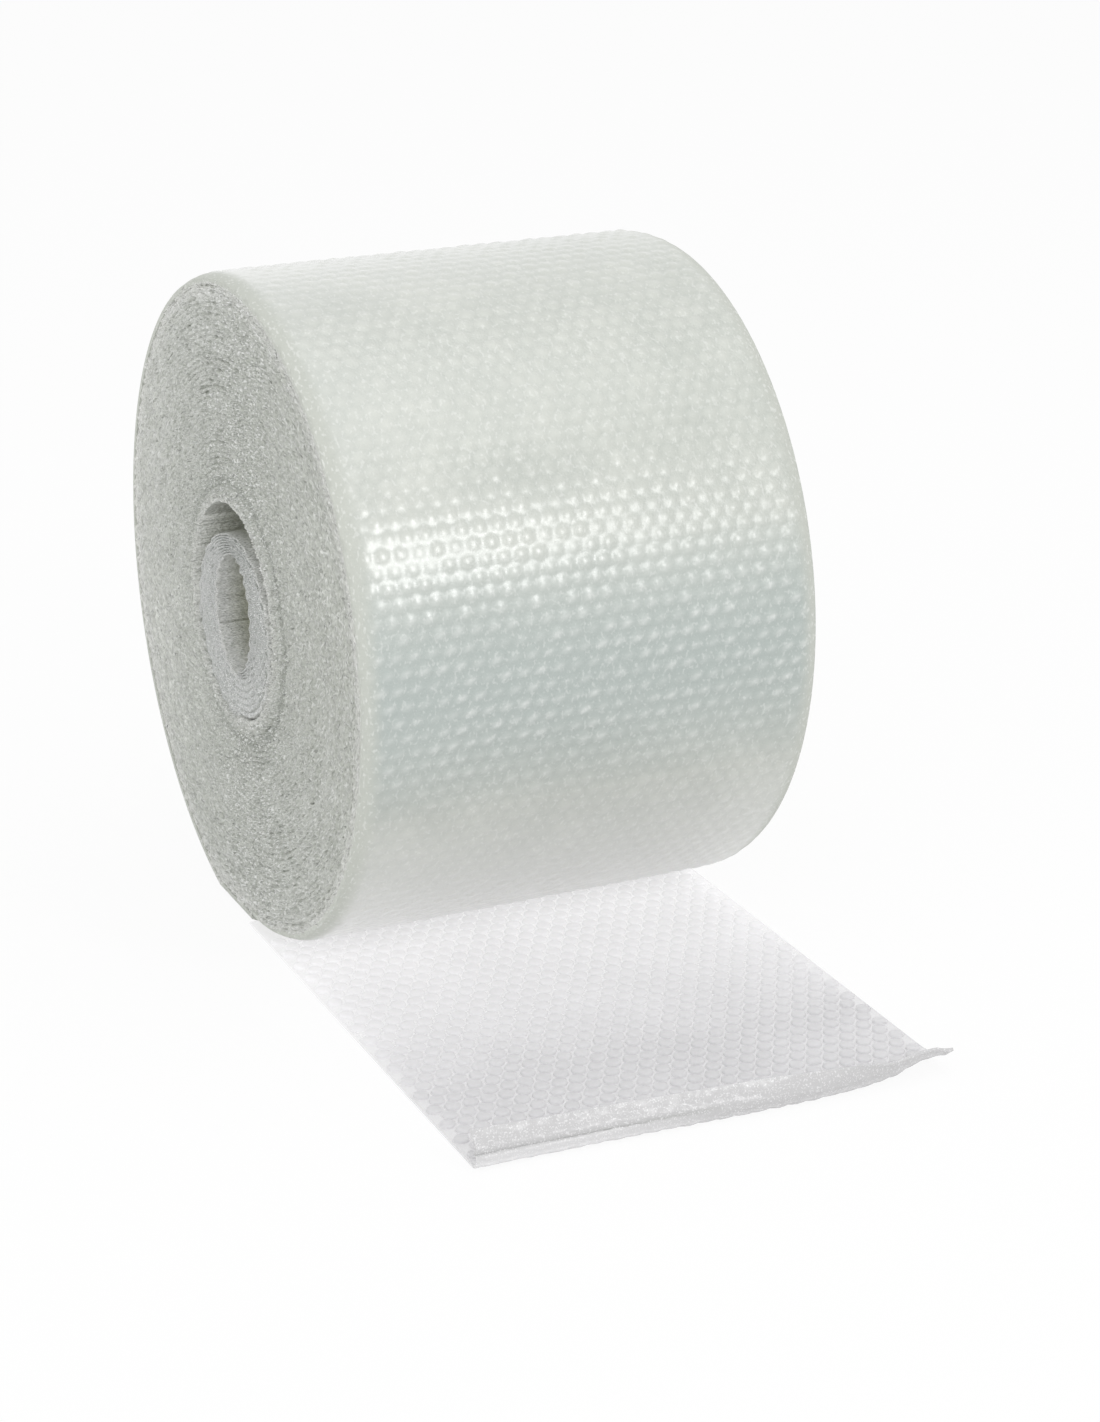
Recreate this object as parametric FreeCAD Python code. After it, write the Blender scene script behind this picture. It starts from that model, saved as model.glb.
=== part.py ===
import FreeCAD, Part
import math
import os

# A roll of air-bubble cushioning film lying on its side, with the loose end pulled out to
# the front. The film is wound on itself: the innermost turns have sagged and leave a
# crescent gap above them. One continuous sheet, so one solid.
# X runs along the axis of the roll, -Y is the side of the loose end, Z is up.
# The origin is on the floor, under the axis, at the middle of the width.

# Driving dimensions, in millimetres
film_width = 300.0
film_thickness = 4.0
roll_radius = 211.0
hollow_radius = 69.2
ridge_count = 11
flat_spot_depth = 9.3

# Ends of the winding: each ridge stands for three turns of the film
ridge_height = 2.4
inner_ridge_proud = 2.5
outer_setback = 2.0

# Loose inner turns and the hollow in them
loose_turn_insets = [1.0, -1.5, -1.5]
crescent_gap = 21.0
front_gap = 12.0
core_height = 75.0
core_back_reach = 35.0
core_front_reach = 26.0

# Pulled out end of the film, bubble side up
row_pitch = 9.8
backing_thickness = 2.6
bubble_height = 1.7
first_row = 84.8
row_count = 24
curl_start = 325.0

# Sections of the turned up end: place as a share of the width, reach to the front,
# radius of the bend, angle of the bend, straight flap beyond it
curl_sections = [
    (-0.50, 358.0, 9.0, 132.0, 10.0),
    (-0.18, 366.0, 9.0, 125.0, 9.0),
    (0.08, 371.5, 9.5, 118.0, 8.0),
    (0.25, 373.0, 11.0, 104.0, 6.0),
    (0.38, 373.5, 17.0, 70.0, 3.5),
    (0.50, 372.0, 55.0, 36.0, 7.0),
]

# Worked out from the sizes above
half_width = film_width / 2
ridge_pitch = (roll_radius - hollow_radius) / ridge_count
front_axis_z = roll_radius + ridge_pitch - flat_spot_depth
back_axis_z = front_axis_z - ridge_pitch / 2


def ridge_end(place):
    """End of the winding at a place counted in ridges: the turns recede outwards."""
    return half_width - outer_setback * place / ridge_count


def winding_profile(axis_z, inner_radius):
    """Section through the turns on one side of the axis, with ridged ends."""
    end_points = []
    for ridge in range(ridge_count):
        valley = inner_radius + ridge * ridge_pitch
        proud = inner_ridge_proud if ridge == 0 else 0.0
        end_points.append((ridge_end(ridge) - ridge_height, valley))
        end_points.append((ridge_end(ridge + 0.5) + proud, valley + ridge_pitch / 2))
    outer_radius = inner_radius + ridge_count * ridge_pitch
    end_points.append((ridge_end(ridge_count) - ridge_height, outer_radius))
    outline = end_points + [(-x, radius) for x, radius in reversed(end_points)]
    points = [FreeCAD.Vector(x, 0, axis_z + radius) for x, radius in outline]
    return Part.Face(Part.makePolygon(points + points[:1]))


def winding_half(axis_z, inner_radius, direction):
    """Half of the winding, turned about its own axis from the top to the bottom."""
    profile = winding_profile(axis_z, inner_radius)
    axis_point = FreeCAD.Vector(0, 0, axis_z)
    return profile.revolve(axis_point, FreeCAD.Vector(direction, 0, 0), 180)


def winding():
    """Tight turns: two halves about axes half a pitch apart, which makes a spiral."""
    front = winding_half(front_axis_z, hollow_radius, 1)
    back = winding_half(back_axis_z, hollow_radius + ridge_pitch / 2, -1)
    size = 2 * roll_radius
    below_floor = Part.makeBox(
        2 * film_width, 2 * size, size, FreeCAD.Vector(-film_width, -size, -size)
    )
    return front.fuse(back.cut(below_floor))


def half_turn(bottom, top, reach, side, x):
    """Half oval of three tangent arcs from the bottom of a loose turn to its top."""
    half_height = (top - bottom) / 2
    middle_z = (top + bottom) / 2
    end_radius = reach ** 2 / half_height
    side_radius = half_height * (half_height + reach) / (2 * reach)
    change_y = end_radius * (side_radius - reach) / (side_radius - end_radius)
    change_z = end_radius * (half_height - end_radius) / (side_radius - end_radius)
    change_z += half_height - end_radius

    def at(y, z):
        return FreeCAD.Vector(x, side * y, middle_z + z)

    def end_arc(sign):
        turned = math.asin(change_y / end_radius) / 2
        halfway_z = half_height - end_radius * (1 - math.cos(turned))
        halfway = at(end_radius * math.sin(turned), sign * halfway_z)
        return Part.Arc(at(0, sign * half_height), halfway, at(change_y, sign * change_z))

    side_arc = Part.Arc(at(change_y, -change_z), at(reach, 0), at(change_y, change_z))
    return [end_arc(-1).toShape(), side_arc.toShape(), end_arc(1).toShape()]


def loose_band(outer, inner, side, length):
    """Half of one loose turn between its outer and its inner curve."""
    x = -length / 2
    outline = half_turn(*outer, side, x) + half_turn(*inner, side, x)
    for level in (0, 1):
        outline.append(Part.makeLine(FreeCAD.Vector(x, 0, outer[level]),
                                     FreeCAD.Vector(x, 0, inner[level])))
    face = Part.Face(Part.Wire(Part.__sortEdges__(outline)))
    return face.extrude(FreeCAD.Vector(length, 0, 0))


def spread(first, last, count):
    """Evenly spaced values from the first to the last, both included."""
    return [first + (last - first) * step / count for step in range(count + 1)]


def loose_turns():
    """Sagged inner turns: the last tight turn goes on into them at the bottom."""
    count = len(loose_turn_insets)
    hollow_bottom = front_axis_z - hollow_radius
    highest = front_axis_z + hollow_radius - crescent_gap
    tops = [highest - turn * film_thickness for turn in range(count + 1)]
    core_bottom = tops[-1] - core_height
    bottoms = [hollow_bottom - ridge_pitch]
    bottoms += spread(hollow_bottom, core_bottom - film_thickness, count - 1)
    bottoms += [core_bottom]
    back_reach = spread(hollow_radius + ridge_pitch / 2, core_back_reach, count)
    front_reach = spread(hollow_radius - front_gap, core_front_reach, count)
    bands = []
    for turn, inset in enumerate(loose_turn_insets):
        length = film_width - 2 * inset
        back = [(bottoms[k], tops[k], back_reach[k]) for k in (turn, turn + 1)]
        front = [(bottoms[k + 1], tops[k], front_reach[k]) for k in (turn, turn + 1)]
        bands.append(loose_band(*back, 1, length))
        bands.append(loose_band(*front, -1, length))
    return bands


def sheet_on_floor():
    """Flat run of the film, with each row of bubbles as a rounded rib across it."""
    outline = [
        Part.makeLine(FreeCAD.Vector(-half_width, 0, film_thickness),
                      FreeCAD.Vector(-half_width, 0, 0)),
        Part.makeLine(FreeCAD.Vector(-half_width, 0, 0),
                      FreeCAD.Vector(-half_width, -curl_start, 0)),
        Part.makeLine(FreeCAD.Vector(-half_width, -curl_start, 0),
                      FreeCAD.Vector(-half_width, -curl_start, film_thickness)),
    ]
    far_edge_y = -first_row - row_count * row_pitch
    rib_start = FreeCAD.Vector(-half_width, far_edge_y, backing_thickness)
    outline.append(Part.makeLine(outline[-1].Vertexes[1].Point, rib_start))
    for row in range(row_count):
        crown_y = far_edge_y + (row + 0.5) * row_pitch
        crown = FreeCAD.Vector(-half_width, crown_y, backing_thickness + bubble_height)
        rib_end = rib_start.add(FreeCAD.Vector(0, row_pitch, 0))
        outline.append(Part.Arc(rib_start, crown, rib_end).toShape())
        rib_start = rib_end
    outline.append(Part.makeLine(rib_start, outline[0].Vertexes[0].Point))
    return Part.Face(Part.Wire(outline)).extrude(FreeCAD.Vector(film_width, 0, 0))


def curl_section(share, reach, radius, angle, flap):
    """Closed section of the film's end at one place of its width."""
    x = share * film_width
    bend = math.radians(angle)
    front_of_bend = radius if bend > math.pi / 2 else radius * math.sin(bend) + flap * math.cos(bend)
    bend_y = front_of_bend - reach

    def on_bend(turned, distance):
        return FreeCAD.Vector(
            x,
            bend_y - distance * math.sin(turned),
            radius - distance * math.cos(turned),
        )

    along_flap = FreeCAD.Vector(0, -flap * math.cos(bend), flap * math.sin(bend))
    inner_radius = radius - film_thickness
    start_low = FreeCAD.Vector(x, -curl_start, 0)
    start_high = FreeCAD.Vector(x, -curl_start, film_thickness)
    outer = [on_bend(bend * step / 2, radius) for step in range(3)]
    inner = [on_bend(bend * step / 2, inner_radius) for step in range(3)]
    outer_tip = outer[2].add(along_flap)
    inner_tip = inner[2].add(along_flap)
    return Part.Wire([
        Part.makeLine(start_low, outer[0]),
        Part.Arc(*outer).toShape(),
        Part.makeLine(outer[2], outer_tip),
        Part.makeLine(outer_tip, inner_tip),
        Part.makeLine(inner_tip, inner[2]),
        Part.Arc(*reversed(inner)).toShape(),
        Part.makeLine(inner[0], start_high),
        Part.makeLine(start_high, start_low),
    ])


def turned_up_end():
    """End of the film: a back-leaning turn-up that runs out into one lifted corner."""
    sections = [curl_section(*section) for section in curl_sections]
    return Part.makeLoft(sections, True, True)


def bubble_film_roll():
    """The whole roll as one sheet: winding, loose inner turns, flat run and end."""
    pieces = loose_turns() + [sheet_on_floor(), turned_up_end()]
    return winding().multiFuse(pieces)


os.makedirs("parts", exist_ok=True)
roll = bubble_film_roll()
roll.exportStep("parts/bubble_film_roll.step")
print("solids", len(roll.Solids), "valid", roll.isValid(), "volume", round(roll.Volume))
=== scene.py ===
import math

import bpy
import numpy as np
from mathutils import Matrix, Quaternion, Vector


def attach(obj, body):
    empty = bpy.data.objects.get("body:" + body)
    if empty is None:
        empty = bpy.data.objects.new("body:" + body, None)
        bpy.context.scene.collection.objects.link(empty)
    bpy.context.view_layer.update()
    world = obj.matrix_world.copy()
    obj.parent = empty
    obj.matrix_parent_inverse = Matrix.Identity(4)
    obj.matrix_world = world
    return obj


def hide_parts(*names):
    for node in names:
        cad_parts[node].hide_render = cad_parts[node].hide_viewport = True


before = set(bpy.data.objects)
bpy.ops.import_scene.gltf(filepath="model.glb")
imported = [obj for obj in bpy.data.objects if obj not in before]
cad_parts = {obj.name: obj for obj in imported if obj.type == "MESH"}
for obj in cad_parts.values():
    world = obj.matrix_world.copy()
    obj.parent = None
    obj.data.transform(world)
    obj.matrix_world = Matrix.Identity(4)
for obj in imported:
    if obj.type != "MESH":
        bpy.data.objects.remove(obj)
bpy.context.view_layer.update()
rollNode = "bubble_film_roll"
mm = 0.001
hairline = 0.01 * mm
fullTurn = 2 * math.pi

# One sheet of air-bubble film: its bubbles lie in staggered rows across the width
film = {
    "halfWidth": 150 * mm,
    "bubblePitch": 11.3 * mm,    # along a row, across the film
    "rowPitch": 9.8 * mm,        # from row to row, along the film
    "bubbleRadius": 4.9 * mm,
    "bubbleSides": 10,
    "bubbleSharpest": 80,        # degrees, past which an edge of a bubble stays sharp
    # one bubble, ring by ring: rise as a share of its height, and how much it narrows
    "bubbleRings": ((0.62, 0.95), (0.27, 0.80), (0.11, 0.5)),
    "bubbleSpread": 1.12,        # the shape under the smooth side is a little wider
    "dashLength": 3.2 * mm,      # painted glint: a slanted bright mark on each bubble
    "dashWidth": 1.7 * mm,
    "dashSlant": 0.25,
}

# The wound roll: two half circles on axes that are a little apart, with a flat spot
roll = {
    "frontAxis": 214.59 * mm,
    "frontRadius": 211.0 * mm,
    "backAxis": 208.15 * mm,
    "hollowRadius": 69.2 * mm,
    "turns": 40,
    "setback": 2.0 * mm,         # outer turns recede at the ends
    "innerProud": 2.5 * mm,      # the innermost turns stand out as a ring
    "innerProudTurns": 2.4,
    "underFilm": 4.4 * mm,       # the ridged turns stay this far under the outer turn
    "edgeDepth": 1.1 * mm,       # groove between two turns
    "scallop": 0.3 * mm,         # wave of each film edge over its bubbles
    "scallopShift": 2.4,         # sets the wave of each turn apart from the next
    "raggedness": 1.5 * mm,      # how unevenly the edges of the turns lie
    "jitter": 1.0 * mm,          # small chance changes from place to place of an edge
    "stepsRound": 560,
    "seamFade": 60,              # the wave dies out where a turn closes on itself
    "unevenShare": 0.3,
    "crinkleSize": 4 * mm,
    "crinkleShare": 1.4,
    "weldWithin": 0.15 * mm,
}
roll["backRadius"] = roll["frontRadius"] + roll["frontAxis"] - roll["backAxis"]
roll["turnPitch"] = (roll["frontRadius"] - roll["hollowRadius"]) / roll["turns"]


# Selecting, modifiers and moving vertices

def startClean():
    if bpy.context.object and bpy.context.object.mode != "OBJECT":
        bpy.ops.object.mode_set(mode="OBJECT")
    bpy.ops.object.select_all(action="DESELECT")


def addGrid(name, columns, rows):
    startClean()
    bpy.ops.mesh.primitive_grid_add(x_subdivisions=columns, y_subdivisions=rows, size=1)
    piece = bpy.context.object
    piece.name = name
    piece.data.name = name
    return piece


def readPlaces(piece):
    places = np.empty(len(piece.data.vertices) * 3, np.float32)
    piece.data.vertices.foreach_get("co", places)
    return places.reshape(-1, 3).astype(float)


def movePlaces(piece, x, y, z):
    places = np.stack([x, y, z], 1).astype(np.float32)
    piece.data.vertices.foreach_set("co", places.ravel())
    piece.data.update()


def storeShare(piece, name, values):
    layer = piece.data.attributes.new(name, "FLOAT", "POINT")
    layer.data.foreach_set("value", np.asarray(values, np.float32))


def applyModifier(piece, kind, settings):
    startClean()
    piece.select_set(True)
    bpy.context.view_layer.objects.active = piece
    modifier = piece.modifiers.new(kind.lower(), kind)
    for name, value in settings.items():
        setattr(modifier, name, value)
    bpy.ops.object.modifier_apply(modifier=modifier.name)


def crinkle(piece, size, strength, direction):
    texture = bpy.data.textures.new(piece.name + "_crinkle", "CLOUDS")
    texture.noise_scale = size
    texture.noise_depth = 1
    applyModifier(piece, "DISPLACE", {
        "texture": texture, "texture_coords": "LOCAL", "direction": direction,
        "strength": strength, "mid_level": 0.5,
    })
    bpy.data.textures.remove(texture)


def openEdit(piece):
    startClean()
    piece.select_set(True)
    bpy.context.view_layer.objects.active = piece
    bpy.ops.object.mode_set(mode="EDIT")
    bpy.ops.mesh.select_mode(type="EDGE")


def selectRims():
    bpy.ops.mesh.select_all(action="DESELECT")
    bpy.ops.mesh.select_non_manifold(
        extend=False, use_wire=False, use_boundary=True,
        use_multi_face=False, use_non_contiguous=False, use_verts=False)


def deleteMarked(piece, marks):
    openEdit(piece)
    bpy.ops.mesh.select_mode(type="VERT")
    bpy.ops.mesh.select_all(action="DESELECT")
    bpy.ops.object.mode_set(mode="OBJECT")
    piece.data.vertices.foreach_set("select", np.asarray(marks, bool))
    bpy.ops.object.mode_set(mode="EDIT")
    bpy.ops.mesh.delete(type="VERT")


def closeEdit(piece, sharpest=60):
    bpy.ops.mesh.select_all(action="SELECT")
    bpy.ops.mesh.normals_make_consistent(inside=False)
    bpy.ops.object.mode_set(mode="OBJECT")
    bpy.ops.object.shade_smooth_by_angle(angle=math.radians(sharpest))


# Where the film runs: a path gives place and outward direction at a length along it

def pathThrough(y, z):
    steps = np.hypot(np.diff(y), np.diff(z))
    lengths = np.concatenate([[0.0], np.cumsum(steps)])
    alongY, alongZ = np.gradient(y, lengths), np.gradient(z, lengths)
    size = np.hypot(alongY, alongZ)

    def at(length):
        dy = np.interp(length, lengths, alongY / size)
        dz = np.interp(length, lengths, alongZ / size)
        return np.interp(length, lengths, y), np.interp(length, lengths, z), -dz, dy

    return at, lengths[-1]


def ringAt(angle):
    # angle 0 is at the floor and grows over the front, the top and the back
    back = angle > math.pi
    down = np.cos(angle)
    onFloor = 0.5    # only this far down can the flat spot cut the ring
    sagPower = 4     # the last half turn drops late into the loose turns
    axis = np.where(back, roll["backAxis"], roll["frontAxis"])
    outer = np.where(back, roll["backRadius"], roll["frontRadius"])
    toFloor = roll["backAxis"] / np.maximum(down, onFloor)
    outer = np.where(back & (down > onFloor), np.minimum(outer, toFloor), outer)
    innerBack = roll["hollowRadius"] + roll["frontAxis"] - roll["backAxis"]
    innerLast = roll["backAxis"] - roll["frontAxis"] + roll["hollowRadius"] + roll["turnPitch"]
    sag = np.clip(angle / math.pi - 1, 0, 1) ** sagPower
    inner = np.where(back, innerBack + (innerLast - innerBack) * sag, roll["hollowRadius"])
    return axis, inner, outer


# Chance numbers from 0 to 1 that a place always gets back the same

chance = {"firstStep": 12.9898, "secondStep": 78.233, "spread": 43758.5453}


def chanceMark(first, second):
    return first * chance["firstStep"] + second * chance["secondStep"]


def chanceOf(mark):
    return np.mod(np.sin(mark) * chance["spread"], 1.0)


def bubbleShare(across, along):
    # 1 in the middle of a bubble, 0 between bubbles, with a number for each bubble
    best = np.zeros_like(across)
    mark = np.zeros_like(across)
    reach = film["bubbleRadius"] * film["bubbleSpread"]
    firstRow = np.floor(along / film["rowPitch"])
    for row in (firstRow, firstRow + 1):
        shift = (np.mod(row, 2) * 0.5 + 0.25) * film["bubblePitch"]
        column = np.round((across - shift) / film["bubblePitch"])
        distance = np.hypot(across - shift - column * film["bubblePitch"],
                            along - row * film["rowPitch"])
        share = np.clip(1 - (distance / reach) ** 2, 0, 1)
        nearer = share > best
        best = np.where(nearer, share, best)
        mark = np.where(nearer, chanceMark(row, column), mark)
    return best, chanceOf(mark)


# where the painted glint lies on each bubble: 1 on the slanted dash
def paintedGlintShare(across, along):
    rowPair = 2 * film["rowPitch"]
    share = np.zeros_like(across)
    for row in (0, 1):
        shift = (0.5 * row + 0.25) * film["bubblePitch"]
        x = (across - shift) / film["bubblePitch"]
        y = (along - row * film["rowPitch"]) / rowPair
        x, y = (x - np.round(x)) * film["bubblePitch"], (y - np.round(y)) * rowPair
        offLine = (y - film["dashSlant"] * x) / film["dashWidth"]
        share += np.exp(-(x / film["dashLength"]) ** 2 - offLine ** 2)
    return share


def jitterAt(angle, spiral):
    # the same chance number for places that coincide, so that seams stay closed
    placesRound = 500
    place = np.round(np.mod(angle, fullTurn) * placesRound)
    return 2 * chanceOf(chanceMark(np.round(spiral * 2), place)) - 1


def closeToMiddle(piece, weldWithin, crinkleSize, crinkleStrength):
    # one end is drawn through to the middle of the width, and mirrored to the other end
    openEdit(piece)
    bpy.ops.mesh.select_all(action="SELECT")
    bpy.ops.mesh.remove_doubles(threshold=weldWithin)
    selectRims()
    bpy.ops.mesh.extrude_edges_move()
    bpy.ops.transform.resize(value=(0, 1, 1), center_override=(0, 0, 0))
    closeEdit(piece)
    applyModifier(piece, "MIRROR", {
        "use_axis": (True, False, False), "merge_threshold": hairline})
    crinkle(piece, crinkleSize, crinkleStrength, "X")
    openEdit(piece)
    closeEdit(piece)


# Wound turns: the ridged spiral at both ends, and the wall of the hollow

def unevenAt(spiral, angle):
    # slow rise and fall of the edges, from turn to turn and round the roll
    return np.sin(spiral * 5.1 + 2 * np.sin(spiral * 1.7)) * np.sin(angle * 3 + spiral * 0.9)


def buildWoundTurns():
    turns = roll["turns"]
    piece = addGrid("wound_turns", roll["stepsRound"], 2 * turns)
    u, v, _ = readPlaces(piece).T + 0.5
    angle = fullTurn * u
    axis, inner, outer = ringAt(angle)
    turn = v * turns
    crest = np.round(v * 2 * turns) % 2
    radius = inner + (outer - roll["underFilm"] - inner) * v
    spiral = turn + u
    seamFade = np.minimum(1, roll["seamFade"] * np.minimum(u, 1 - u))
    wavePlace = roll["scallopShift"] * np.floor(turn) ** 2
    wave = np.sin(fullTurn * radius * angle / film["rowPitch"] + wavePlace)
    proud = roll["innerProud"] * np.clip((roll["innerProudTurns"] - spiral) * 2 + 1, 0, 1)
    x = film["halfWidth"] - roll["setback"] * spiral / turns + proud
    x -= roll["edgeDepth"] * (1 - crest)
    x += roll["scallop"] * wave * seamFade * crest
    x += roll["unevenShare"] * roll["raggedness"] * unevenAt(spiral, angle)
    x += roll["jitter"] * jitterAt(angle, spiral)
    movePlaces(piece, -x, -radius * np.sin(angle), axis - radius * np.cos(angle))
    storeShare(piece, "crest", crest)
    storeShare(piece, "turn", spiral / turns)
    closeToMiddle(piece, roll["weldWithin"], roll["crinkleSize"],
                  roll["raggedness"] * roll["crinkleShare"])
    return piece


# Outer turn: the smooth side of the film, drawn over the bubbles under it

outerTurn = {
    "halfWidth": 148.2 * mm,
    "stepsPerBubble": 5,
    "pathPoints": 6000,
    "pillow": 0.85 * mm,
    "leastPillow": 0.5,          # share of the pillow that every bubble has
    "chancePillow": 0.8,         # share that differs from bubble to bubble
    "pillowPower": 1.5,
    "tautness": 0.3,             # the film is drawn flatter towards one end
    "edgeFlatness": 0.85,
    "edgeRound": 3.6 * mm,
    "edgeWidth": 12.0 * mm,
    "thickness": 3.0 * mm,
}


def pillowLift(x, bubble, bubbleChance, toEdge):
    taut = np.clip(0.5 - x / (2 * outerTurn["halfWidth"]), 0, 1) ** 2
    fullness = outerTurn["leastPillow"] + outerTurn["chancePillow"] * bubbleChance
    lift = outerTurn["pillow"] * fullness
    lift = lift * (1 - outerTurn["tautness"] * taut) * bubble ** outerTurn["pillowPower"]
    return lift * (1 - outerTurn["edgeFlatness"] * toEdge) - outerTurn["edgeRound"] * toEdge ** 2


def buildOuterTurn():
    angles = np.linspace(0, fullTurn, outerTurn["pathPoints"])
    axis, _, radius = ringAt(angles)
    at, length = pathThrough(-radius * np.sin(angles), axis - radius * np.cos(angles))
    rows = round(length / film["rowPitch"]) * outerTurn["stepsPerBubble"]
    columns = round(2 * outerTurn["halfWidth"] / film["bubblePitch"]) * outerTurn["stepsPerBubble"]
    piece = addGrid("outer_turn", columns, rows)
    u, v, _ = readPlaces(piece).T + 0.5
    x = (2 * u - 1) * outerTurn["halfWidth"]
    bubble, bubbleChance = bubbleShare(x, v * length)
    y, z, outY, outZ = at(v * length)
    toEdge = np.clip((np.abs(x) - outerTurn["halfWidth"]) / outerTurn["edgeWidth"] + 1, 0, 1)
    lift = pillowLift(x, bubble, bubbleChance, toEdge)
    movePlaces(piece, x, y + lift * outY, np.maximum(z + lift * outZ, 0))
    storeShare(piece, "bubble", bubble)
    storeShare(piece, "chance", bubbleChance)
    storeShare(piece, "edge", toEdge)
    storeShare(piece, "paintedGlintMask", paintedGlintShare(x, v * length))

    openEdit(piece)
    selectRims()
    bpy.ops.mesh.extrude_edges_move()
    inward = 1 - outerTurn["thickness"] / roll["frontRadius"]
    bpy.ops.transform.resize(
        value=(1, inward, inward), center_override=(0, 0, roll["frontAxis"]))
    bpy.ops.object.mode_set(mode="OBJECT")
    places = readPlaces(piece)
    side = np.abs(places[:, 0]) > outerTurn["halfWidth"] - hairline
    for edge in piece.data.edges:
        if edge.select and not (side[edge.vertices[0]] and side[edge.vertices[1]]):
            edge.select = False
    openEdit(piece)
    bpy.ops.mesh.bridge_edge_loops()
    bpy.ops.mesh.select_all(action="SELECT")
    bpy.ops.mesh.fill_holes(sides=0)
    closeEdit(piece)
    return piece


# Loose inner turns: half ovals that sag inside the hollow, with heights in millimetres

loose = {
    "tops": [262.8, 258.8, 254.8, 250.8],
    "bottoms": [132.5, 145.4, 158.6, 171.8, 175.8],
    "backReach": [75.65, 62.1, 48.6, 35.0],
    "frontReach": [57.2, 46.8, 36.4, 26.0],
    "endPlaces": [149.0, 150.5, 151.5, 151.5, 151.5],
    "ribbonsPerTurn": 3,
    "ribbonHeights": [0.0, 0.8, 1.0, 0.8],
    "edgeDepth": 1.5 * mm,
    "scallop": 0.6 * mm,
    "scallopsRound": 24,
    "scallopShift": 2.1,
    "seamFade": 40,
    "stepsRound": 300,
    "crinkleSize": 6 * mm,
    "crinkleStrength": 1.4 * mm,
    "weldWithin": 0.05 * mm,
}


def looseAt(turn, angle):
    # turn 0 is the outermost of these turns
    def level(name, place):
        values = loose[name]
        return np.interp(place, range(len(values)), values) * mm

    front = angle <= math.pi
    top = level("tops", turn)
    bottom = np.where(front, level("bottoms", turn + 1), level("bottoms", turn))
    reach = np.where(front, level("frontReach", turn), level("backReach", turn))
    y = -reach * np.sin(angle)
    z = (top + bottom) / 2 - (top - bottom) / 2 * np.cos(angle)
    return y, z


def buildLooseTurns():
    turns = len(loose["tops"]) - 1
    ribbons = turns * loose["ribbonsPerTurn"]
    heights = np.array(loose["ribbonHeights"])
    piece = addGrid("loose_turns", loose["stepsRound"], len(heights) * ribbons)
    u, v, _ = readPlaces(piece).T + 0.5
    angle = fullTurn * u
    y, z = looseAt(v * turns, angle)
    step = np.round(v * len(heights) * ribbons) % len(heights)
    crest = heights[step.astype(int)]
    end = np.interp(v * turns - u + 1, range(turns + 2), loose["endPlaces"]) * mm
    seamFade = np.minimum(1, loose["seamFade"] * np.minimum(u, 1 - u))
    wavePlace = loose["scallopShift"] * np.floor(v * ribbons) ** 2
    wave = np.sin(fullTurn * u * loose["scallopsRound"] + wavePlace)
    x = end - loose["edgeDepth"] * (1 - crest) + loose["scallop"] * wave * seamFade * crest
    movePlaces(piece, -x, y, z)
    storeShare(piece, "crest", crest)
    storeShare(piece, "turn", v)
    closeToMiddle(piece, loose["weldWithin"], loose["crinkleSize"], loose["crinkleStrength"])
    return piece


# Pulled out sheet: flat on the floor, bubble side up, with a turned up end

sheet = {
    "backing": 1.8 * mm,
    "bubbleHeight": 2.0 * mm,
    "bubbleSink": 0.05 * mm,     # bubbles start this far inside the backing
    "bubbleColumns": 26,
    "firstRow": 4,               # rows before it lie under the roll
    "cutMargin": 1.0 * mm,
    "stepsAcross": 106,
    "stepsAlong": 230,
    "stepCrowding": 1.35,        # steps get shorter towards the turned up end
    # along the width: share, reach, bend radius, bend angle, flap beyond the bend
    "shares": [-0.50, -0.18, 0.08, 0.25, 0.38, 0.50],
    "reach": [369, 373, 378, 380, 380, 378],
    "bendRadius": [9, 9, 9.5, 11, 17, 55],
    "bendAngle": [132, 125, 118, 104, 70, 36],
    "flap": [10, 9, 8, 6, 3.5, 7],
    "smoothing": 12,             # steps of 1/200 of the width on each side
    "shareStart": 80 * mm,       # the finish changes from here
    "shareSpan": 300 * mm,       # over this length
}

# Folds of the turned up end: turned is the angle round the bend
folds = {
    "cornerReach": 110 * mm,     # how far they run in from the middle of the width
    "lipAngle": math.radians(60),
    "lipWidth": math.radians(28),
    "grooveAngle": math.radians(100),
    "grooveWidth": math.radians(9),
    "creaseAngle": math.radians(98),
    "creaseWidth": math.radians(11),
    "creaseDepth": 2.0 * mm,
    "ridgeAngle": math.radians(62),
    "ridgeWidth": math.radians(24),
    "ridgeHeight": 1.0 * mm,
    "bubbleRelief": 0.6 * mm,
    "wrinkleRelief": 0.3 * mm,
    "wrinkleAcross": 3.1 * mm,
    "wrinkleAlong": 2.3 * mm,
    "waverAcross": 6 * mm,       # how soon a wrinkle changes its course
    "waverAlong": 4.7 * mm,
}


def curlValue(name, x):
    fine = np.linspace(-0.5, 0.5, 201)
    values = np.interp(fine, sheet["shares"], sheet[name])
    window = np.hanning(2 * sheet["smoothing"] + 1)
    padded = np.pad(values, sheet["smoothing"], mode="reflect", reflect_type="odd")
    smooth = np.convolve(padded, window / window.sum(), mode="valid")
    return np.interp(x / (2 * film["halfWidth"]), fine, smooth)


def curlLengths(x):
    radius = curlValue("bendRadius", x) * mm
    angle = np.radians(curlValue("bendAngle", x))
    flap = curlValue("flap", x) * mm
    front = np.where(angle > math.pi / 2, radius, radius * np.sin(angle) + flap * np.cos(angle))
    bendY = front - curlValue("reach", x) * mm
    return bendY, radius, angle, flap


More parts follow.
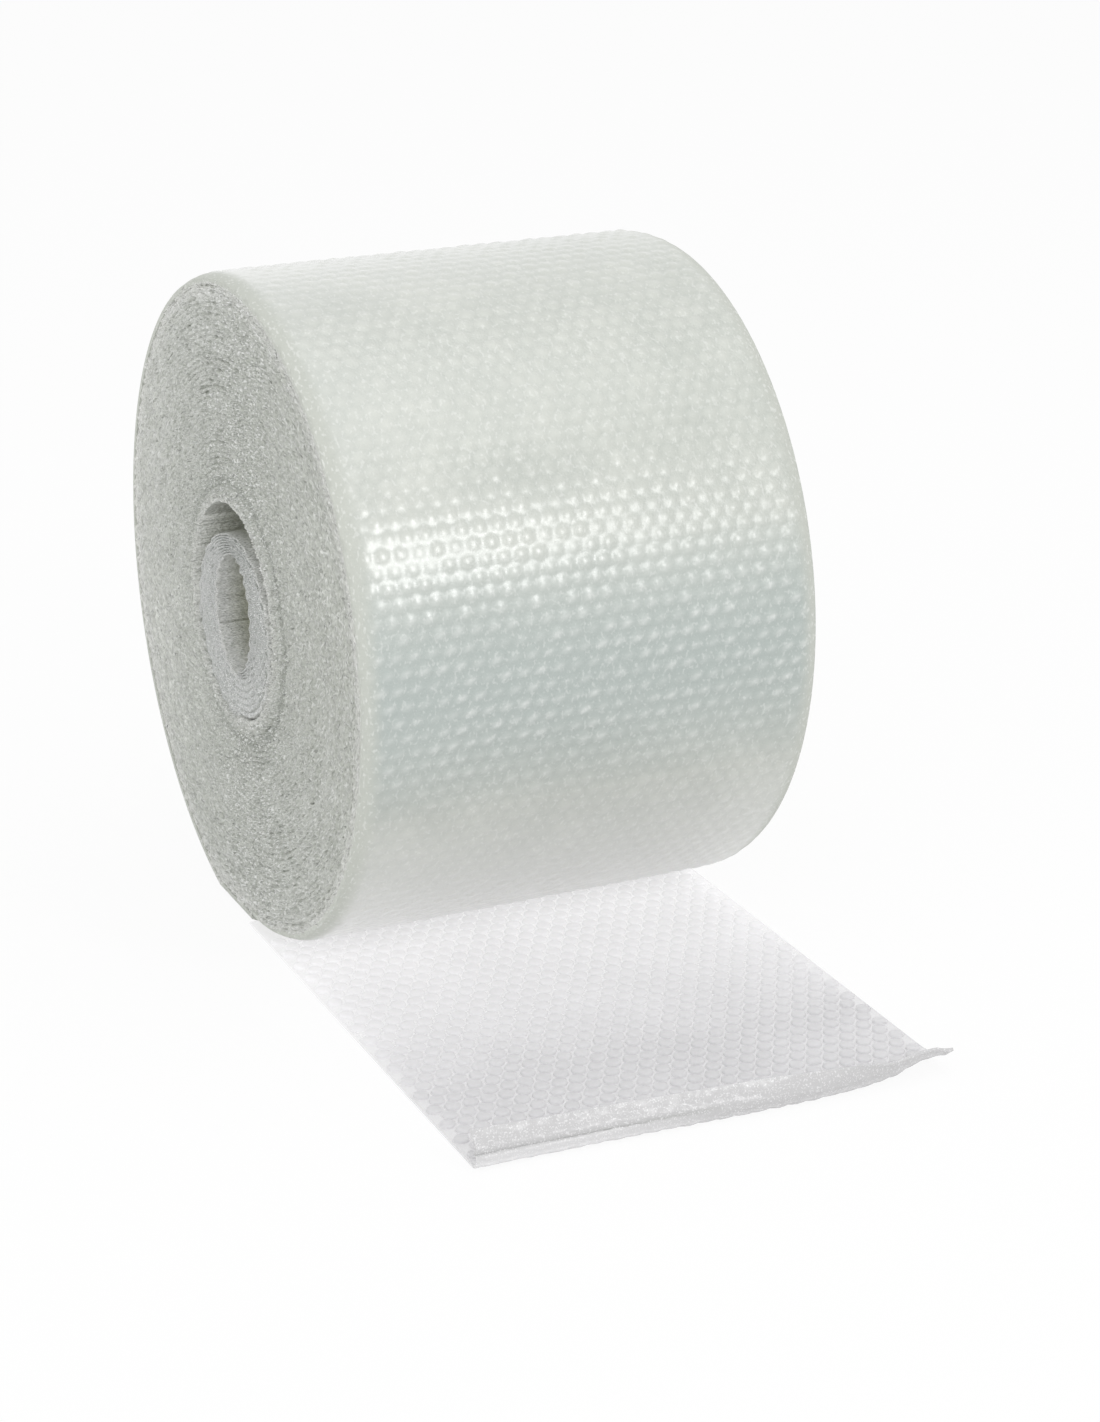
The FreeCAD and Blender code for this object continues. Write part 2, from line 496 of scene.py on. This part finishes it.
def onSheet(x, length, height):
    # length from the roll's axis along the underside, height above the underside
    bendY, radius, angle, _ = curlLengths(x)
    turned = np.clip((length + bendY) / radius, 0, angle)
    beyond = np.maximum(length + bendY - radius * angle, 0)
    flat = np.minimum(length, -bendY)
    y = -flat - (radius - height) * np.sin(turned) - beyond * np.cos(turned)
    z = radius - (radius - height) * np.cos(turned) + beyond * np.sin(turned)
    return y, z


def turnedAt(x, length):
    bendY, radius, angle, _ = curlLengths(x)
    return np.clip((length + bendY) / radius, 0, angle)


def foldAt(turned, name):
    return np.exp(-((turned - folds[name + "Angle"]) / folds[name + "Width"]) ** 2)


def storeSheetShares(piece, x, length):
    turned = turnedAt(x, length)
    corner = np.clip(-x / folds["cornerReach"], 0, 1) ** 0.5
    share = (length - sheet["shareStart"]) / sheet["shareSpan"]
    storeShare(piece, "length", np.clip(share, 0, 1))
    storeShare(piece, "curl", np.clip(2 * turned - 0.2, 0, 1))
    storeShare(piece, "lip", corner * foldAt(turned, "lip"))
    storeShare(piece, "groove", corner * foldAt(turned, "groove"))


def creaseAt(x, length):
    # a crease runs in from one corner along the outside of the turned up end
    turned = turnedAt(x, length)
    reach = np.clip(-x / folds["cornerReach"] - 0.1, 0, 1) ** 0.7
    crease = folds["creaseDepth"] * foldAt(turned, "crease")
    ridge = folds["ridgeHeight"] * foldAt(turned, "ridge")
    bubble, _ = bubbleShare(x, length)
    waver = 2 * np.sin(length / folds["waverAlong"])
    wrinkle = np.sin(x / folds["wrinkleAcross"] + waver)
    waver = 1.7 * np.sin(x / folds["waverAcross"])
    wrinkle *= np.sin(length / folds["wrinkleAlong"] + waver)
    relief = folds["bubbleRelief"] * bubble + folds["wrinkleRelief"] * wrinkle
    return (crease - ridge) * reach - relief * np.clip(2 * turned, 0, 1)


def sheetLength(x):
    bendY, radius, angle, flap = curlLengths(x)
    return -bendY + radius * angle + flap


def buildPulledSheet():
    piece = addGrid("pulled_out_sheet", sheet["stepsAcross"], sheet["stepsAlong"])
    u, v, _ = readPlaces(piece).T + 0.5
    x = (2 * u - 1) * film["halfWidth"]
    length = sheetLength(x) * (1 - (1 - v) ** sheet["stepCrowding"])
    y, z = onSheet(x, length, sheet["backing"] + creaseAt(x, length))
    movePlaces(piece, x, y, z)
    storeSheetShares(piece, x, length)
    openEdit(piece)
    closeEdit(piece)
    applyModifier(piece, "SOLIDIFY", {"thickness": sheet["backing"] * 0.98, "offset": 1.0})
    openEdit(piece)
    closeEdit(piece)
    return piece


def addBubbleField(name, columns, rowPairs, height):
    # one bubble is modelled, then repeated in staggered rows on a flat film
    startClean()
    bpy.ops.mesh.primitive_circle_add(
        vertices=film["bubbleSides"], radius=film["bubbleRadius"],
        fill_type="NGON", location=(0, 0, 0))
    piece = bpy.context.object
    piece.name = name
    piece.data.name = name
    openEdit(piece)
    bpy.ops.mesh.select_all(action="SELECT")
    for rise, narrowing in film["bubbleRings"]:
        bpy.ops.mesh.extrude_region_move(
            TRANSFORM_OT_translate={"value": (0, 0, rise * height)})
        bpy.ops.transform.resize(
            value=(narrowing, narrowing, 1), center_override=(0, 0, 0))
    closeEdit(piece, film["bubbleSharpest"])
    startClean()
    piece.select_set(True)
    bpy.context.view_layer.objects.active = piece
    bpy.ops.object.duplicate()
    second = bpy.context.object
    bpy.ops.transform.translate(value=(film["bubblePitch"] / 2, film["rowPitch"], 0))
    bpy.ops.object.transform_apply(location=True, rotation=False, scale=False)
    piece.select_set(True)
    second.select_set(True)
    bpy.context.view_layer.objects.active = piece
    bpy.ops.object.join()
    applyModifier(piece, "ARRAY", {
        "count": columns, "use_relative_offset": False, "use_constant_offset": True,
        "constant_offset_displace": (film["bubblePitch"], 0, 0)})
    applyModifier(piece, "ARRAY", {
        "count": rowPairs, "use_relative_offset": False, "use_constant_offset": True,
        "constant_offset_displace": (0, 2 * film["rowPitch"], 0)})
    places = readPlaces(piece)
    span = (columns - 0.5) * film["bubblePitch"]
    movePlaces(piece, places[:, 0] - span / 2, places[:, 1], places[:, 2])
    return piece


def buildSheetBubbles():
    longest = float(sheetLength(np.linspace(-1, 1, 41) * film["halfWidth"]).max())
    rowPairs = round(longest / film["rowPitch"] / 2)
    piece = addBubbleField("sheet_bubbles", sheet["bubbleColumns"], rowPairs, sheet["bubbleHeight"])
    x, length, height = readPlaces(piece).T
    length = length + sheet["firstRow"] * film["rowPitch"]
    y, z = onSheet(x, length, height + sheet["backing"] - sheet["bubbleSink"])
    beyond = length > sheetLength(x) - sheet["cutMargin"]
    movePlaces(piece, x, y, z)
    storeSheetShares(piece, x, length)
    # a bubble that would pass the cut edge is left out whole
    bubblePoints = film["bubbleSides"] * (len(film["bubbleRings"]) + 1)
    lost = beyond.reshape(-1, bubblePoints).any(1)
    deleteMarked(piece, np.repeat(lost, bubblePoints))
    closeEdit(piece, film["bubbleSharpest"])
    return piece


# Materials: shader maths written as expressions

class Wire:
    def __init__(self, tree, socket):
        self.tree, self.socket = tree, socket

    def math(self, operation, other, flipped=False):
        node = self.tree.nodes.new("ShaderNodeMath")
        node.operation = operation
        pair = (other, self) if flipped else (self, other)
        for slot, value in zip(node.inputs, pair):
            if isinstance(value, Wire):
                self.tree.links.new(value.socket, slot)
            else:
                slot.default_value = value
        return Wire(self.tree, node.outputs[0])

    def __add__(self, other):
        return self.math("ADD", other)

    __radd__ = __add__

    def __sub__(self, other):
        return self.math("SUBTRACT", other)

    def __rsub__(self, other):
        return self.math("SUBTRACT", other, True)

    def __mul__(self, other):
        return self.math("MULTIPLY", other)

    __rmul__ = __mul__

    def __truediv__(self, other):
        return self.math("DIVIDE", other)

    def __pow__(self, other):
        return self.math("POWER", other)

    def clamped(self):
        return self.math("MINIMUM", 1.0).math("MAXIMUM", 0.0)

    def above(self, start, gain):
        # 0 up to the start, then rising to 1
        return ((self - start) * gain).clamped()

    def around(self, middle, narrowness):
        # 1 at the middle, falling to 0 on both sides
        return (1 - (self - middle) * (self - middle) * narrowness).clamped()


class NodeTree:
    def __init__(self, tree):
        self.tree = tree
        self.tree.nodes.clear()

    def node(self, kind, settings=None, values=None, out=0):
        # sockets go by name, or by number where names repeat
        made = self.tree.nodes.new(kind)
        for name, value in (settings or {}).items():
            setattr(made, name, value)
        for name, value in (values or {}).items():
            slot = made.inputs[name]
            if isinstance(value, Wire):
                self.tree.links.new(value.socket, slot)
            else:
                slot.default_value = value
        return Wire(self.tree, made.outputs[out]) if made.outputs else None

    def seenDirectly(self):
        camera = self.node("ShaderNodeLightPath", out="Is Camera Ray")
        mirrored = self.node("ShaderNodeLightPath", out="Is Glossy Ray")
        passed = self.node("ShaderNodeLightPath", out="Is Transmission Ray")
        return (camera + mirrored + passed).clamped()


class Finish(NodeTree):
    def __init__(self, name):
        self.material = bpy.data.materials.new(name)
        self.material.use_nodes = True
        # what glows here only shows itself and is no lamp
        self.material.cycles.emission_sampling = "NONE"
        super().__init__(self.material.node_tree)

    def blend(self, share, first, second):
        return self.node("ShaderNodeMix", {"data_type": "RGBA"}, {
            0: share, 6: first, 7: second}, out=2)

    def objectPlace(self):
        return self.node("ShaderNodeTexCoord", out="Object")

    def axis(self, name):
        return self.node("ShaderNodeSeparateXYZ", None, {
            0: self.objectPlace()}, out="xyz".index(name))

    def grazing(self, blend):
        return self.node("ShaderNodeLayerWeight", None, {"Blend": blend}, out="Facing")

    def noise(self, size, detail=2.0, place=None):
        return self.node("ShaderNodeTexNoise", None, {
            "Vector": place or self.objectPlace(), "Scale": 1 / size, "Detail": detail}, out="Fac")

    def share(self, name):
        return self.node("ShaderNodeAttribute", {"attribute_name": name}, out="Fac")

    def ringPlace(self, across, along):
        # place in the winding: out from the axis, round the axis, along the axis
        middleRadius = 0.14
        x, y, z = (self.axis(name) for name in "xyz")
        z = z - roll["frontAxis"]
        outwards = (y * y + z * z) ** 0.5
        turned = y.math("ARCTAN2", z) * (middleRadius / along)
        return self.node("ShaderNodeCombineXYZ", None, {
            0: outwards / across, 1: turned, 2: x / along})

    def bump(self, height, depth, strength=1.0):
        return self.node("ShaderNodeBump", None, {
            "Height": height, "Distance": depth, "Strength": strength}, out="Normal")

    def show(self, shader):
        self.node("ShaderNodeOutputMaterial", None, {"Surface": shader})
        return self.material

    def surface(self, values):
        return self.show(self.node("ShaderNodeBsdfPrincipled", None, values))


colours = {
    "clear": (0.63, 0.65, 0.60, 1),
    "shade": (0.46, 0.49, 0.45, 1),
    "bright": (0.93, 0.94, 0.92, 1),
    "tealShade": (0.42, 0.475, 0.455, 1),
    "rim": (0.57, 0.59, 0.54, 1),
    "paintedLight": (0.84, 0.84, 0.81, 1),
    "end": (0.71, 0.73, 0.68, 1),
    "endShade": (0.42, 0.44, 0.39, 1),
    "dark": (0.22, 0.24, 0.20, 1),
    "lilac": (0.64, 0.64, 0.65, 1),
    "hollowShade": (0.26, 0.27, 0.15, 1),
    "sheet": (0.80, 0.79, 0.81, 1),
    "sheetShade": (0.70, 0.69, 0.71, 1),
    "tipShade": (0.65, 0.645, 0.65, 1),
    "white": (0.95, 0.945, 0.955, 1),
    "bubble": (0.91, 0.90, 0.92, 1),
    "glow": (0.27, 0.27, 0.27, 1),
    "none": (0, 0, 0, 1),
}


outerLook = {
    "fleckAcross": 1.0 * mm,
    "fleckAlong": 2.2 * mm,
    "fleckShare": 0.22,
    "cloudSize": 45 * mm,
    "tealHeight": 0.02,          # middle of the belt of painted blue-green shade, as a share of the radius
    "tealNarrowness": 7,
    "tealShare": 0.85,
    "paintedGlintShare": 0.42,
    "floorLightShare": 0.8,
    "grazingShare": 0.75,
    "rimShare": 0.9,
    "roughness": 0.36,
    "coat": 0.72,
    "coatFall": 2.2,             # the gloss fades towards the far end
    "coatRoughness": 0.24,
    "grainSize": 1.8 * mm,
    "grainDepth": 0.6 * mm,
}


def outerFinish():
    look = outerLook
    finish = Finish("outer_film")
    place = finish.ringPlace(look["fleckAcross"], look["fleckAlong"])
    flecks = finish.noise(1.0, 1.0, place).above(0.56, 7)
    cloudy = finish.noise(look["cloudSize"], 1.0)
    bubble = finish.share("bubble")
    paintedGlintMask = finish.share("paintedGlintMask")
    bubbleChance = finish.share("chance")
    edge = finish.share("edge")
    pale = (bubble * 0.25 + bubbleChance * 0.2 + cloudy * 0.75).clamped()
    base = finish.blend(pale, colours["shade"], colours["clear"])
    # painted shade: a blue-green belt where the film faces the front; painted light from the floor:
    # paler close to the floor
    height = (finish.axis("z") - roll["frontAxis"]) / roll["frontRadius"]
    facingFront = (finish.axis("y") * -12).clamped()
    # painted shade: a darker blue-green belt round the front, at this height
    shadeBelt = height.around(look["tealHeight"], look["tealNarrowness"]) * facingFront
    base = finish.blend(shadeBelt * look["tealShare"], base, colours["tealShade"])
    # painted glints: bright slanted dashes on the bubbles in the belt of painted shade
    glint = shadeBelt * paintedGlintMask * (bubbleChance * look["paintedGlintShare"] + 0.12)
    base = finish.blend(glint, base, colours["bright"])
    # painted light: paler close to the floor, as if lit by the floor below
    paintedLight = (height * -1).above(0.3, 1.8) * look["floorLightShare"]
    base = finish.blend(paintedLight, base, colours["paintedLight"])
    # painted light: paler where the film is seen at a grazing angle, as if lit through at its edges
    grazed = finish.grazing(0.55) ** 4 * look["grazingShare"]
    base = finish.blend(grazed, base, colours["bright"])
    base = finish.blend((edge * 1.4).clamped() * look["rimShare"], base, colours["rim"])
    # white flecks: partly pale crinkles in the film, partly painted sparkle highlights
    colour = finish.blend(flecks * (edge * 0.2 + look["fleckShare"]), base, colours["bright"])
    coat = (look["coat"] - finish.axis("x") * look["coatFall"]).clamped()
    grain = finish.noise(look["grainSize"], 1.0)
    return finish.surface({
        "Base Color": colour,
        "Roughness": (look["roughness"] + cloudy * 0.12 + edge * 0.5).clamped(),
        "Coat Weight": coat * (1 - edge * 2).clamped(),
        "Coat Roughness": look["coatRoughness"], "Coat IOR": 1.6,
        "Normal": finish.bump(grain, look["grainDepth"], 0.6),
    })


endLook = {
    "fleckAcross": 1.1 * mm,
    "fleckAlong": 2.8 * mm,
    "cloudSize": 22 * mm,
    "frontShade": 0.4,
    "rimStart": 0.9,             # from this share of the turns outwards it is painted paler, as if lit through
    "rimShare": 0.6,
    "innermostTurns": 0.075,
    "innermostShare": 0.6,
    "backShare": 0.35,
    "ringPlace": 0.115,          # painted shadow in a groove behind the innermost turns
    "ringNarrowness": 1500,
    "ringShare": 0.9,
    "glitterPlace": -0.012,      # painted highlight: a column of glints straight above and below the hollow
    "glitterNarrowness": 169,
    "pitShare": 0.25,
    "fleckShare": 0.5,
    "roughness": 0.40,
    "coat": 0.8,
    "coatRoughness": 0.18,
    "lintDepth": 2.2 * mm,
    "insideFrom": 146 * mm,      # nearer the middle than this lies inside the hollow
    "insideFade": 20 * mm,
}


def endFinish(name, light, dark, inner):
    look = endLook
    finish = Finish(name)
    place = finish.ringPlace(look["fleckAcross"], look["fleckAlong"])
    crinkleAndSparkle = finish.noise(1.0, 1.5, place)
    # white flecks: partly pale crinkled film, partly painted sparkle highlights
    flecks = crinkleAndSparkle.above(0.54, 9)
    pits = finish.noise(0.7, 0.0, place).above(0.54, 8)
    cloudy = finish.noise(look["cloudSize"], 1.0)
    crest = finish.share("crest")
    turn = finish.share("turn")
    # painted shade: darker in the grooves between turns than on the crests, mixed with tone that
    # differs at random
    pale = (crest * 0.45 + cloudy * 0.6).clamped()
    base = finish.blend(pale, colours[dark], colours[light])
    # painted light and shade: the end is darker towards the front and paler towards the back, at
    # the outermost turns and on the proud innermost turns
    frontShare = (0.5 - finish.axis("y") * 2.4).clamped()
    base = finish.blend(frontShare * look["frontShade"], base, colours[dark])
    rim = turn.above(look["rimStart"], 10) * look["rimShare"]
    base = finish.blend(rim, base, colours["paintedLight"])
    innermost = (1 - turn / look["innermostTurns"]).clamped() * look["innermostShare"]
    base = finish.blend(innermost, base, colours["paintedLight"])
    backwards = finish.axis("y").above(0.1, 8) * look["backShare"]
    base = finish.blend(backwards, base, colours["paintedLight"])
    # painted shadow in the groove behind the innermost turns, on the front side only
    groove = turn.around(look["ringPlace"], look["ringNarrowness"])
    base = finish.blend(groove * frontShare * look["ringShare"], base, colours["dark"])
    # painted highlight: more dark pits and white flecks in a column straight above and below the
    # hollow
    highlightColumn = finish.axis("y").around(look["glitterPlace"], look["glitterNarrowness"])
    colour = finish.blend(pits * (highlightColumn * 0.35 + look["pitShare"]), base, colours["dark"])
    flecked = flecks * (highlightColumn * 0.4 + look["fleckShare"])
    colour = finish.blend(flecked, colour, colours["bright"])
    # painted shade inside the hollow, away from both ends
    offMiddle = finish.axis("x").math("ABSOLUTE", 0.0)
    inside = ((look["insideFrom"] - offMiddle) / look["insideFade"]).clamped()
    colour = finish.blend(inside * inner, colour, colours["hollowShade"])
    return finish.surface({
        "Base Color": colour,
        "Roughness": look["roughness"] + cloudy * 0.15,
        "Coat Weight": look["coat"],
        "Coat Roughness": look["coatRoughness"], "Coat IOR": 1.6,
        "Normal": finish.bump(crinkleAndSparkle, look["lintDepth"], 1.0),
    })


sheetLook = {
    "cloudSize": 60 * mm,
    "fleckSize": 1.0 * mm,
    "fleckShare": 0.3,
    "grooveShare": 0.5,
    "lipShare": 0.6,
    "curlThickness": 0.5,        # the turned up end is less clear
    "roughness": 0.40,
    "coat": 0.4,
    "coatRoughness": 0.2,
    "grainSize": 1.5 * mm,
    "grainDepth": 0.4 * mm,
}


def sheetFinish(name, dark, light, thin, spread):
    look = sheetLook
    finish = Finish(name)
    length = finish.share("length")
    curl = finish.share("curl")
    cloudy = finish.noise(look["cloudSize"], 1.0)
    flecks = finish.noise(look["fleckSize"], 1.0).above(0.56, 9)
    base = finish.blend(cloudy, colours[dark], colours[light])
    # painted shade: the turned up end is greyer
    base = finish.blend(curl, base, colours["tipShade"])
    # painted shadow along the groove of the fold near one corner
    base = finish.blend(finish.share("groove") * look["grooveShare"], base, colours["dark"])
    # white flecks: partly pale crinkles, partly painted sparkle highlights, more on the turned up
    # end
    colour = finish.blend(flecks * (curl * 0.45 + look["fleckShare"]), base, colours["white"])
    colour = finish.blend(finish.share("lip") * look["lipShare"], colour, colours["white"])
    # a painted glow, which is no lamp, stands in for light coming through the clear film where the
    # sheet lies flat and near the roll
    unlit = (length * 1.5 + curl).clamped()
    grain = finish.noise(look["grainSize"], 0.0)
    return finish.surface({
        "Base Color": colour,
        "Alpha": (length * spread + thin + curl * look["curlThickness"]).clamped(),
        "Roughness": look["roughness"] + cloudy * 0.1,
        "Coat Weight": look["coat"], "Coat Roughness": look["coatRoughness"],
        "Emission Color": finish.blend(unlit, colours["glow"], colours["none"]),
        "Emission Strength": 1.0,
        "Normal": finish.bump(grain, look["grainDepth"], 0.5),
    })


def dress(piece, material):
    piece.data.materials.clear()
    piece.data.materials.append(material)
    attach(piece, "root")
    return piece


# Stage: floor, world, lamps and camera

stage = {
    "floorSize": 14.0,
    "floorColour": (0.95, 0.95, 0.95, 1),
    "floorGlow": 0.92,
    "worldLight": 0.66,
}

lamps = {
    "window_light": {
        "place": (0.86, -2.35, 1.46), "target": (0, -0.2, 0.3),
        "size": (0.42, 0.72), "power": 12.5,
    },
    "soft_top": {
        "place": (0.3, -0.5, 2.8), "target": (0, 0, 0.2),
        "size": (2.4, 2.4), "power": 17.0,
    },
    "soft_side": {
        "place": (-2.6, -1.0, 1.1), "target": (0, 0, 0.2),
        "size": (1.6, 1.6), "power": 15.0,
    },
}

cameraPlace = {
    "target": Vector((53.4, -27.3, 124.5)) * mm,
    "azimuth": math.radians(-24.81),
    "elevation": math.radians(20.35),
    "roll": math.radians(-0.29),
    "distance": 2063 * mm,
    "focalPixels": 3151,
    "pictureHeight": 1422,
}


def addFloor():
    startClean()
    bpy.ops.mesh.primitive_plane_add(size=stage["floorSize"], location=(0, 0, 0))
    floor = bpy.context.object
    floor.name = "floor"
    finish = Finish("pale_floor")
    diffuse = finish.node("ShaderNodeBsdfDiffuse", None, {"Color": stage["floorColour"]})
    glow = finish.node("ShaderNodeEmission", None, {"Color": (1, 1, 1, 1), "Strength": 1.0})
    mixed = finish.node("ShaderNodeMixShader", None, {
        0: finish.seenDirectly() * stage["floorGlow"], 1: diffuse, 2: glow})
    floor.data.materials.append(finish.show(mixed))


def lightWorld():
    world = bpy.data.worlds.new("white_studio")
    bpy.context.scene.world = world
    world.use_nodes = True
    sky = NodeTree(world.node_tree)
    strength = sky.seenDirectly() * (1 - stage["worldLight"]) + stage["worldLight"]
    background = sky.node("ShaderNodeBackground", None, {
        "Color": (1, 1, 1, 1), "Strength": strength})
    sky.node("ShaderNodeOutputWorld", None, {"Surface": background})


def addLamp(name):
    settings = lamps[name]
    startClean()
    bpy.ops.object.light_add(type="AREA", location=settings["place"])
    lamp = bpy.context.object
    lamp.name = name
    lamp.data.shape = "RECTANGLE"
    lamp.data.size, lamp.data.size_y = settings["size"]
    lamp.data.energy = settings["power"]
    lamp.rotation_mode = "QUATERNION"
    away = Vector(settings["place"]) - Vector(settings["target"])
    lamp.rotation_quaternion = away.to_track_quat("Z", "Y")


def addCamera():
    startClean()
    bpy.ops.object.camera_add()
    camera = bpy.context.object
    a, e = cameraPlace["azimuth"], cameraPlace["elevation"]
    back = Vector((math.sin(a) * math.cos(e), -math.cos(a) * math.cos(e), math.sin(e)))
    camera.location = cameraPlace["target"] + back * cameraPlace["distance"]
    camera.rotation_mode = "QUATERNION"
    leaning = Quaternion((0, 0, 1), cameraPlace["roll"])
    camera.rotation_quaternion = back.to_track_quat("Z", "Y") @ leaning
    sensor = camera.data.sensor_width
    camera.data.lens = cameraPlace["focalPixels"] * sensor / cameraPlace["pictureHeight"]
    camera.data.clip_start, camera.data.clip_end = 0.05, 50
    bpy.context.scene.camera = camera


print("camera and studio")
addCamera()
addFloor()
lightWorld()
for lampName in lamps:
    addLamp(lampName)
bpy.context.scene.view_settings.view_transform = "Standard"

print("wound turns")
endFilm = endFinish("end_film", "end", "endShade", 0.25)
wound = dress(buildWoundTurns(), endFilm)
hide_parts(rollNode)
print("outer turn")
dress(buildOuterTurn(), outerFinish())
print("loose turns")
dress(buildLooseTurns(), endFinish("core_film", "lilac", "shade", 0.95))
print("pulled out sheet")
dress(buildPulledSheet(), sheetFinish("sheet_film", "sheetShade", "sheet", 0.28, 0.08))
print("bubbles")
dress(buildSheetBubbles(), sheetFinish("bubble_film", "sheet", "bubble", 0.42, 0.0))

bpy.context.view_layer.update()
